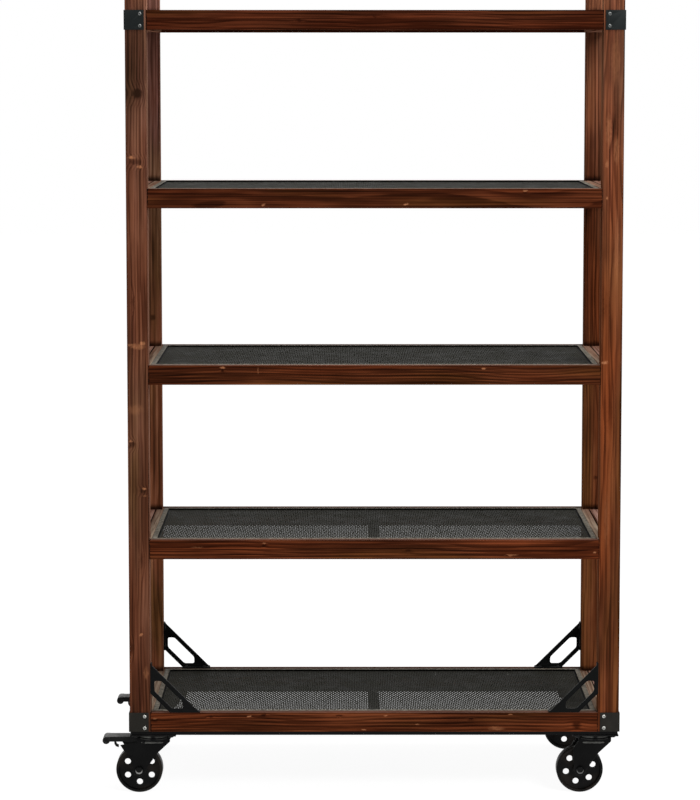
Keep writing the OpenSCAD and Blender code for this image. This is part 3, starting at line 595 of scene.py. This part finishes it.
WELD = 0.01 * MM
FLAT = math.radians(0.5)
CRISP = math.radians(35.0)
SLOT_CORNER = math.radians(20.0)
ALIGNED = 0.99
EASE = {name: width * MM for name, width in (
    ("timber", 2.2), ("board", 1.0), ("rim", 0.8), ("edge_shade", 0.3), ("bar", 0.3), ("sheet", 0.6),
    ("plate", 0.5), ("yoke", 0.7), ("axle", 0.8), ("wheel", 0.8), ("pedal", 0.5))}


def read(items, field, width=1, kind=float):
    """One field of all of a mesh's items as an array, with a row for each where it has a width."""
    values = np.empty(len(items) * width, kind)
    items.foreach_get(field, values)
    return values.reshape(-1, width) if width > 1 else values


def store(mesh, name, values):
    """Keeps a number or a vector for each vertex as an attribute."""
    kind, field = ("FLOAT", "value") if values.ndim == 1 else ("FLOAT_VECTOR", "vector")
    kept = mesh.attributes.new(name, kind, "POINT")
    kept.data.foreach_set(field, values.astype(np.float32).ravel())


def put(name, data):
    """A new object in the scene."""
    made = bpy.data.objects.new(name, data)
    bpy.context.scene.collection.objects.link(made)
    return made


def mesh_piece(name, verts, faces):
    """A new piece from an array of points and one of faces."""
    mesh = bpy.data.meshes.new(name)
    mesh.from_pydata(np.asarray(verts).tolist(), [], np.asarray(faces).tolist())
    mesh.update()
    return put(name, mesh)


def weld(source, target, change=None):
    """Puts a mesh in the target with its doubles merged, and a change made to it if one is given."""
    work = bmesh.new()
    work.from_mesh(source)
    bmesh.ops.remove_doubles(work, verts=work.verts, dist=WELD)
    if change:
        change(work)
    work.to_mesh(target)
    work.free()


def islands(mesh):
    """A number for each vertex that is the same for all vertices of one solid: the least vertex
    number spreads along the edges until nothing changes."""
    a, b = read(mesh.edges, "vertices", 2, np.int64).T
    label = np.arange(len(mesh.vertices))
    while True:
        least = np.minimum(label[a], label[b])
        spread = label.copy()
        np.minimum.at(spread, a, least)
        np.minimum.at(spread, b, least)
        spread = spread[spread]
        if np.array_equal(spread, label):
            return label
        label = spread


def mark_edges(mesh):
    """Stores 1 at each vertex in the middle of a rounded edge, where every face is tilted, and 0 at
    the rest."""
    flat = np.abs(read(mesh.polygons, "normal", 3)).max(1) > ALIGNED
    corners = read(mesh.loops, "vertex_index", kind=np.int64)
    totals = read(mesh.polygons, "loop_total", kind=np.int64)
    worn = np.ones(len(mesh.vertices))
    worn[corners[np.repeat(flat, totals)]] = 0.0
    store(mesh, "worn", worn)


def settle(made):
    """Applies a piece's modifiers to its mesh."""
    graph = bpy.context.evaluated_depsgraph_get()
    final = bpy.data.meshes.new_from_object(made.evaluated_get(graph))
    made.modifiers.clear()
    made.data = final


def smooth(made, angle=CRISP):
    """Smooth shading, with edges sharper than the angle left crisp."""
    made.data.shade_smooth()
    made.data.set_sharp_from_angle(angle=angle)


def round_edges(made, width, segments, angle):
    """Bevels a piece's edges that are sharper than the angle, and marks them as worn."""
    bevel = made.modifiers.new("ease", "BEVEL")
    bevel.width = width
    bevel.segments = segments
    bevel.limit_method = "ANGLE"
    bevel.angle_limit = angle
    settle(made)
    mark_edges(made.data)
    smooth(made)


def eased(node, width, segments=2, slot_radius=0.0):
    """A copy of a CAD node with its sharp edges rounded to a radius of about width, and the inner
    corners of slots in upright sheets to slot_radius."""
    def join_faces(work):
        bmesh.ops.dissolve_limit(work, angle_limit=FLAT, verts=work.verts, edges=work.edges)
        if slot_radius:
            corners = [edge for edge in work.edges if edge.is_manifold and not edge.is_convex
                       and abs((edge.verts[0].co - edge.verts[1].co).normalized().y) > ALIGNED
                       and edge.calc_face_angle() > SLOT_CORNER]
            bmesh.ops.bevel(work, geom=corners, offset=slot_radius, segments=5, affect="EDGES",
                            profile=0.5)

    mesh = bpy.data.meshes.new(node + "_eased")
    weld(NODES[node].data, mesh, join_faces)
    made = put(node + "_eased", mesh)
    round_edges(made, width, segments, CRISP)
    return made


def dress(made, material, body, slot, *nodes):
    """Gives a piece its finish and its body, and puts it in the place of its nodes. Its slot is not
    used.
    """
    made.data.materials.clear()
    made.data.materials.append(material)
    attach(made, body)
    if nodes:
        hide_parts(*nodes)


def repaint(node, material):
    """Gives a CAD node that stays as it is its finish."""
    mesh = NODES[node].data
    mesh.materials.clear()
    mesh.materials.append(material)


# Timber

PITH_NEAR = 35 * MM
PITH_FAR = 110 * MM
GRAIN_START = 9.0

# The draws of each node's grain, and how far apart the draws of two nodes start
POST_DRAW, BACK_RAIL_DRAW, BOARD_DRAW, BATTEN_DRAW, DOWEL_DRAW = 10, 30, 40, 50, 60
FRONT_RAIL_DRAWS = (85, 22, 23, 74, 25)
DRAW_STEP = 1000


def add_grain(made, axis, draw):
    """Stores each vertex's place from its own tree's pith. The pith lies outside the board, at a
    random distance and side for each solid, and the place along the grain starts anywhere."""
    label = islands(made.data)
    order = [k for k in range(3) if k != axis] + [axis]
    values = read(made.data.vertices, "co", 3)[:, order]
    for number, first in enumerate(np.unique(label)):
        mine = label == first
        middle = (values[mine].min(0) + values[mine].max(0)) / 2
        rng = np.random.default_rng(DRAW_STEP * draw + number)
        turn = rng.uniform(0, 2 * math.pi)
        far = rng.uniform(PITH_NEAR, PITH_FAR)
        start = rng.uniform(-GRAIN_START, GRAIN_START)
        pith = np.array([far * math.cos(turn), far * math.sin(turn), start])
        values[mine] += pith - middle * np.array([1.0, 1.0, 0.0])
    store(made.data, "grain", values)


def timber(node, axis, draw, material, slot, ease="timber"):
    """Dresses a node of timber whose grain runs along an axis."""
    made = eased(node, EASE[ease], segments=3)
    add_grain(made, axis, draw)
    dress(made, material, "frame", slot, node)


def build_timber():
    posts = (WOOD_POST_LEFT, WOOD_POST_RIGHT, WOOD_POST_BACK_PAINTED_LIGHT, WOOD_POST_RIGHT)
    for number, (corner, material) in enumerate(zip(CORNERS, posts)):
        slot = "post_left" if corner.endswith("left") else "post_right"
        timber(f"post_{corner}", ALONG_Z, POST_DRAW + number, material, slot)
    for tier, front_draw in zip(TIERS, FRONT_RAIL_DRAWS):
        timber(f"front_rail_{tier}", ALONG_X, front_draw, WOOD_RAIL, "rail")
        timber(f"back_rail_{tier}", ALONG_X, BACK_RAIL_DRAW + tier, WOOD_RAIL, "rail")
        timber(f"side_boards_{tier}", ALONG_Y, BOARD_DRAW + tier, WOOD_BOARD, "board", "board")
    timber("side_battens", ALONG_Y, BATTEN_DRAW, WOOD_BATTEN, "board", "board")
    timber("dowels", ALONG_X, DOWEL_DRAW, DOWEL_WOOD, "dowel")


# Mesh decks

MESH_CELL_X = 8.0 * MM
MESH_CELL_Y = 18.0 * MM
STRAND_W = 3.85 * MM
STRAND_T = 0.8 * MM
RIM_WIDTH = 10.5 * MM
EDGE_SHADE_SHOWN = 4.0 * MM
RIM_TOP_UP = 0.6


def build_mesh_deck(tier):
    """Expanded steel mesh. Strand k, a strip of a rectangular section, runs along Y at x = k times
    half a cell, stretched a little to fill the width. It swings a quarter of a cell less a quarter
    of its own width to each side, alternately with its neighbour, so that two strands overlap at
    every half cell."""
    node = f"deck_mesh_{tier}"
    low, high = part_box(node)
    half_x, half_y = MESH_CELL_X / 2, MESH_CELL_Y / 2
    columns = int((high.x - low.x - STRAND_W) / half_x)
    rows = int((high.y - low.y) / half_y)
    step_x = (high.x - low.x - STRAND_W - half_x) / (columns - 1)
    k = np.arange(columns)[:, None]
    r = np.arange(rows + 1)[None, :]
    swing = np.where((k + r) % 2 == 0, 1.0, -1.0) * (half_x / 2 - STRAND_W * 0.25)
    centre_x = low.x + (STRAND_W + half_x) / 2 + k * step_x + swing
    verts = np.empty((columns, rows + 1, 4, 3))
    verts[..., 0] = centre_x[..., None] + np.array([-0.5, 0.5, 0.5, -0.5]) * STRAND_W
    verts[..., 1] = np.linspace(low.y, high.y, rows + 1)[None, :, None]
    verts[..., 2] = (low.z + high.z) / 2 + np.array([-0.5, -0.5, 0.5, 0.5]) * STRAND_T
    index = np.arange(columns * (rows + 1) * 4).reshape(columns, rows + 1, 4)
    here, after = index[:, :-1], index[:, 1:]
    sides = np.stack([here, np.roll(here, -1, 2), np.roll(after, -1, 2), after], -1).reshape(-1, 4)
    caps = np.concatenate([index[:, 0, ::-1], index[:, -1]])
    faces = np.concatenate([sides, caps])[:, ::-1]
    made = mesh_piece(f"fine_mesh_{tier}", verts.reshape(-1, 3), faces)
    dress(made, MESH_STEEL, "frame", "mesh_steel", node)


def build_edge_shade(tier):
    """A black strip along a mesh's edge that paints the shade in the step between the rim and the
    mesh: the corners of an outer and an inner rectangle, first at the mesh's underside and then at
    its top. The inner one shows 4 mm inside the rim."""
    low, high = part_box(f"deck_mesh_{tier}")
    rim_low, rim_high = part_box(f"deck_rim_{tier}")
    inset = RIM_WIDTH + EDGE_SHADE_SHOWN
    span_x = np.array([[low.x, high.x], [rim_low.x + inset, rim_high.x - inset]])
    span_y = np.array([[low.y, high.y], [rim_low.y + inset, rim_high.y - inset]])
    verts = np.empty((2, 2, 4, 3))
    verts[..., 0] = span_x[:, None, [0, 1, 1, 0]]
    verts[..., 1] = span_y[:, None, [0, 0, 1, 1]]
    verts[..., 2] = np.array([low.z, high.z])[:, None]
    under, over, inner_under, inner_over = np.arange(16).reshape(4, 4)
    pairs = ((under, over), (over, inner_over), (inner_over, inner_under), (inner_under, under))
    faces = [np.stack([a, np.roll(a, -1), np.roll(b, -1), b], -1) for a, b in pairs]
    made = mesh_piece(f"mesh_edge_shade_{tier}", verts.reshape(-1, 3), np.concatenate(faces))
    round_edges(made, EASE["edge_shade"], 1, math.radians(30.0))
    dress(made, EDGE_SHADE_PAINT, "frame", "mesh_steel")


def paint_shade_on_sides(made):
    """Gives a rim's upright faces the black of the edge's painted shade, so only its flat top is
    bare steel.
    """
    made.data.materials.append(EDGE_SHADE_PAINT)
    sides = read(made.data.polygons, "normal", 3)[:, 2] < RIM_TOP_UP
    made.data.polygons.foreach_set("material_index", sides.astype(np.int32))


def build_decks():
    for tier in TIERS:
        build_mesh_deck(tier)
        build_edge_shade(tier)
        rim = eased(f"deck_rim_{tier}", EASE["rim"])
        dress(rim, RIM_STEEL, "frame", "rim_steel", f"deck_rim_{tier}")
        paint_shade_on_sides(rim)
    dress(eased("deck_bars", EASE["bar"]), MESH_STEEL, "frame", "mesh_steel", "deck_bars")


# Corner steel and base

HEAD_SIDES = 12
HEAD_SHARES = np.array([0.55, 0.85, 1.0, 1.0, 0.5])
HEAD_DOME = 1.6 * MM
HEAD_RIM = 0.4 * MM
STEM_H = 6.0 * MM
GUSSET_SLOT_R = 4.0 * MM


def build_pan_heads():
    """Domed heads over the CAD's plain ones, as rings of HEAD_SIDES points. A ring at a share s of
    the radius is HEAD_DOME times 1 minus s to the fourth power, and HEAD_RIM, above the bracket.
    The last two rings are the head's underside and the end of a stem."""
    merged = bpy.data.meshes.new("screws_merged")
    weld(NODES["bracket_screws"].data, merged)
    label = islands(merged)
    order = np.argsort(label, kind="stable")
    points = read(merged.vertices, "co", 3)[order]
    starts = np.unique(label[order], return_index=True)[1]
    low, high = np.minimum.reduceat(points, starts), np.maximum.reduceat(points, starts)

    heads = np.arange(len(starts))
    axis = (high - low).argmax(1)
    side = np.where(np.abs(high[heads, axis]) > np.abs(low[heads, axis]), 1.0, -1.0)
    out, u, v = (np.eye(3)[(axis + k) % 3] for k in range(3))
    out, v = out * side[:, None], v * side[:, None]
    middle, half = (low + high) / 2, (high - low) / 2
    base = middle + out * ((half * np.abs(out)).sum(1) - HEAD_DOME - HEAD_RIM)[:, None]
    radius = (half * u).sum(1)

    height = np.append((1 - HEAD_SHARES[:3] ** 4) * HEAD_DOME + HEAD_RIM, [0.0, -STEM_H])
    turn = np.arange(HEAD_SIDES) * 2 * math.pi / HEAD_SIDES
    ring = radius[:, None, None, None] * HEAD_SHARES[:, None, None]
    spoke = u[:, None, None] * np.cos(turn)[:, None] + v[:, None, None] * np.sin(turn)[:, None]
    verts = base[:, None, None] + out[:, None, None] * height[:, None, None] + ring * spoke
    index = np.arange(verts.size // 3).reshape(verts.shape[:-1])
    after = np.roll(index, -1, 2)
    walls = np.stack([index[:, :-1], index[:, 1:], after[:, 1:], after[:, :-1]], -1)
    strip = np.arange(HEAD_SIDES // 2 - 1)
    cap = np.stack([-strip % HEAD_SIDES, strip + 1, strip + 2, HEAD_SIDES - 1 - strip], -1)
    faces = np.concatenate([walls.reshape(-1, 4), index[:, 0][:, cap].reshape(-1, 4),
                            index[:, -1][:, cap[:, ::-1]].reshape(-1, 4)])
    made = mesh_piece("pan_heads", verts.reshape(-1, 3), faces)

    marks = 0.5 + HEAD_SHARES[:, None, None] / 2 * np.stack([np.cos(turn), np.sin(turn)], -1)
    marks = np.broadcast_to(marks, (heads.size, *marks.shape)).reshape(-1, 2)
    drawn = marks[read(made.data.loops, "vertex_index", kind=np.int64)].astype(np.float32)
    made.data.uv_layers.new(name="head").data.foreach_set("uv", drawn.ravel())
    smooth(made)
    dress(made, SCREW_HEAD, "frame", "zinc", "bracket_screws")


def build_steel():
    for node, material, slot_radius in (
            ("top_brackets", BLACK_STEEL, 0.0), ("bottom_brackets", BLACK_STEEL, 0.0),
            ("gussets", GUSSET_STEEL, GUSSET_SLOT_R), ("base_frame", CASTER_STEEL, 0.0)):
        made = eased(node, EASE["sheet"], slot_radius=slot_radius)
        dress(made, material, "frame", "black_steel", node)
    plates = eased("caster_plates", EASE["plate"])
    dress(plates, CASTER_STEEL, "frame", "caster_steel", "caster_plates")
    for node in ("deck_screws", "rail_bolts", "barrel_nuts", "kingpins", "swivel_balls"):
        repaint(node, ZINC)
    for node in ("gusset_screws", "caster_screws"):
        repaint(node, BLACK_SCREW)
    build_pan_heads()


# Casters

RACE_R = 36.0 * MM
LEG_FACE = 21.0 * MM
FOLD_X = -27.0 * MM, 21.0 * MM
FOLD_Z = 113.0 * MM
FOLD_R = 1.5 * MM
FOLD_TALL = 1.5
FOLD_RINGS = 25
FOLD_SIDES = 10
FOLD_CRISP = math.radians(60.0)


def fork_folds(corner):
    """The pressed folds across the two legs of a yoke: spindles along X, whose radius is FOLD_R
    times the square root of 1 minus the sixth power of the distance from the middle, where each end
    is 1. They are FOLD_TALL times as tall as they stand out."""
    low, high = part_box(f"yoke_{corner}")
    swivel_x, middle_y = high.x - RACE_R, (low.y + high.y) / 2
    along = np.sin(np.linspace(-1.0, 1.0, FOLD_RINGS) * math.pi / 2)[:, None]
    turn = np.arange(FOLD_SIDES) * 2 * math.pi / FOLD_SIDES
    radius = FOLD_R * np.sqrt(np.clip(1 - along ** 6, 0.0, None))
    side = np.array([-1.0, 1.0])[:, None, None]
    verts = np.empty((2, FOLD_RINGS, FOLD_SIDES, 3))
    verts[..., 0] = swivel_x + FOLD_X[0] + (along + 1) / 2 * (FOLD_X[1] - FOLD_X[0])
    verts[..., 1] = middle_y + side * (LEG_FACE + radius * np.cos(turn))
    verts[..., 2] = FOLD_Z + radius * FOLD_TALL * np.sin(turn)
    index = np.arange(verts.size // 3).reshape(verts.shape[:-1])
    after = np.roll(index, -1, 2)
    grid = np.stack([index[:, :-1], after[:, :-1], after[:, 1:], index[:, 1:]], -1)
    faces = np.concatenate([grid[0, ..., ::-1], grid[1]]).reshape(-1, 4)
    made = mesh_piece(f"fork_folds_{corner}", verts.reshape(-1, 3), faces)
    weld(made.data, made.data, lambda work: bmesh.ops.recalc_face_normals(work, faces=work.faces))
    # Every vertex counts as a rounded edge, so the whole fold is painted highlight.
    store(made.data, "worn", np.ones(len(made.data.vertices)))
    smooth(made, FOLD_CRISP)
    return made


def build_casters():
    for corner in CORNERS:
        swivel, yoke = f"swivel_{corner}", f"yoke_{corner}"
        axle, wheel = f"axle_{corner}", f"wheel_{corner}"
        dress(eased(yoke, EASE["yoke"]), YOKE_STEEL, swivel, "caster_steel", yoke)
        dress(fork_folds(corner), FOLD_HIGHLIGHT_PAINT, swivel, "caster_steel")
        dress(eased(axle, EASE["axle"]), AXLE_PAINT_AND_GLINT, swivel, "black_screw", axle)
        dress(eased(wheel, EASE["wheel"]), WHEEL_BLACK, wheel, "wheel", wheel)
    for corner in BRAKED:
        pedal = f"brake_pedal_{corner}"
        dress(eased(pedal, EASE["pedal"]), PEDAL_STEEL, pedal, "pedal_steel", pedal)


# Studio

WHITE = (1.0, 1.0, 1.0, 1.0)
FLOOR_CLOTH = (0.92, 0.92, 0.92, 1.0)
FLOOR_HALF = 20.0
FLOOR_GLOW = 0.80
FLOOR_STRENGTH = 1.17
ROOM_LIGHT = 0.40


def build_camera():
    camera = bpy.data.cameras.new("camera")
    camera.sensor_width = CAMERA_SENSOR
    camera.lens = CAMERA_LENS
    camera.shift_y = CAMERA_SHIFT
    holder = put("camera", camera)
    holder.location = CAMERA_PLACE
    holder.rotation_euler = (math.pi / 2 - CAMERA_PITCH, 0.0, -CAMERA_YAW)
    bpy.context.scene.camera = holder


def add_lamp(name, place, target, size, watts):
    """A round soft lamp at a place, aimed at a target."""
    lamp = bpy.data.lights.new(name, "AREA")
    lamp.shape = "DISK"
    lamp.size = size
    lamp.energy = watts
    holder = put(name, lamp)
    holder.location = place
    x, y, z = np.array(target) - np.array(place)
    holder.rotation_euler = (math.atan2(math.hypot(x, y), -z), 0.0, math.atan2(-x, y))


def seen_white(f):
    """1 for rays from the camera and for what gloss and glass show, and 0 for light on surfaces."""
    kinds = ("Is Camera Ray", "Is Glossy Ray", "Is Transmission Ray")
    camera, gloss, glass = (f.add("ShaderNodeLightPath", output=kind) for kind in kinds)
    return (camera + gloss + glass).math("MINIMUM", 1.0)


def build_studio():
    h = FLOOR_HALF
    floor = mesh_piece("floor", [(-h, -h, 0), (h, -h, 0), (h, h, 0), (-h, h, 0)], [(0, 1, 2, 3)])
    f = Finish(bpy.data.materials.new("pale_floor"))
    cloth = f.add("ShaderNodeBsdfDiffuse", None, {"Color": FLOOR_CLOTH})
    glow = f.add("ShaderNodeEmission", None, {"Color": WHITE, "Strength": FLOOR_STRENGTH})
    shown = f.add("ShaderNodeMixShader", None, {0: FLOOR_GLOW, 1: cloth, 2: glow})
    both = f.add("ShaderNodeMixShader", None, {0: seen_white(f), 1: cloth, 2: shown})
    floor.data.materials.append(f.end(both))

    f = Finish(bpy.data.worlds.new("studio"))
    light = f.add("ShaderNodeBackground", None, {"Color": WHITE, "Strength": ROOM_LIGHT})
    white = f.add("ShaderNodeBackground", None, {"Color": WHITE, "Strength": 1.0})
    sky = f.add("ShaderNodeMixShader", None, {0: seen_white(f), 1: light, 2: white})
    bpy.context.scene.world = f.end(sky, "ShaderNodeOutputWorld")

    add_lamp("key", (2.4, -3.6, 3.4), target=(0.0, 0.0, 0.9), size=1.6, watts=100.0)
    add_lamp("overhead", (0.3, -0.4, 4.2), target=(0.0, 0.0, 0.5), size=2.4, watts=110.0)
    bpy.context.scene.view_settings.view_transform = "Standard"


build_camera()
build_studio()
build_timber()
build_decks()
build_steel()
build_casters()
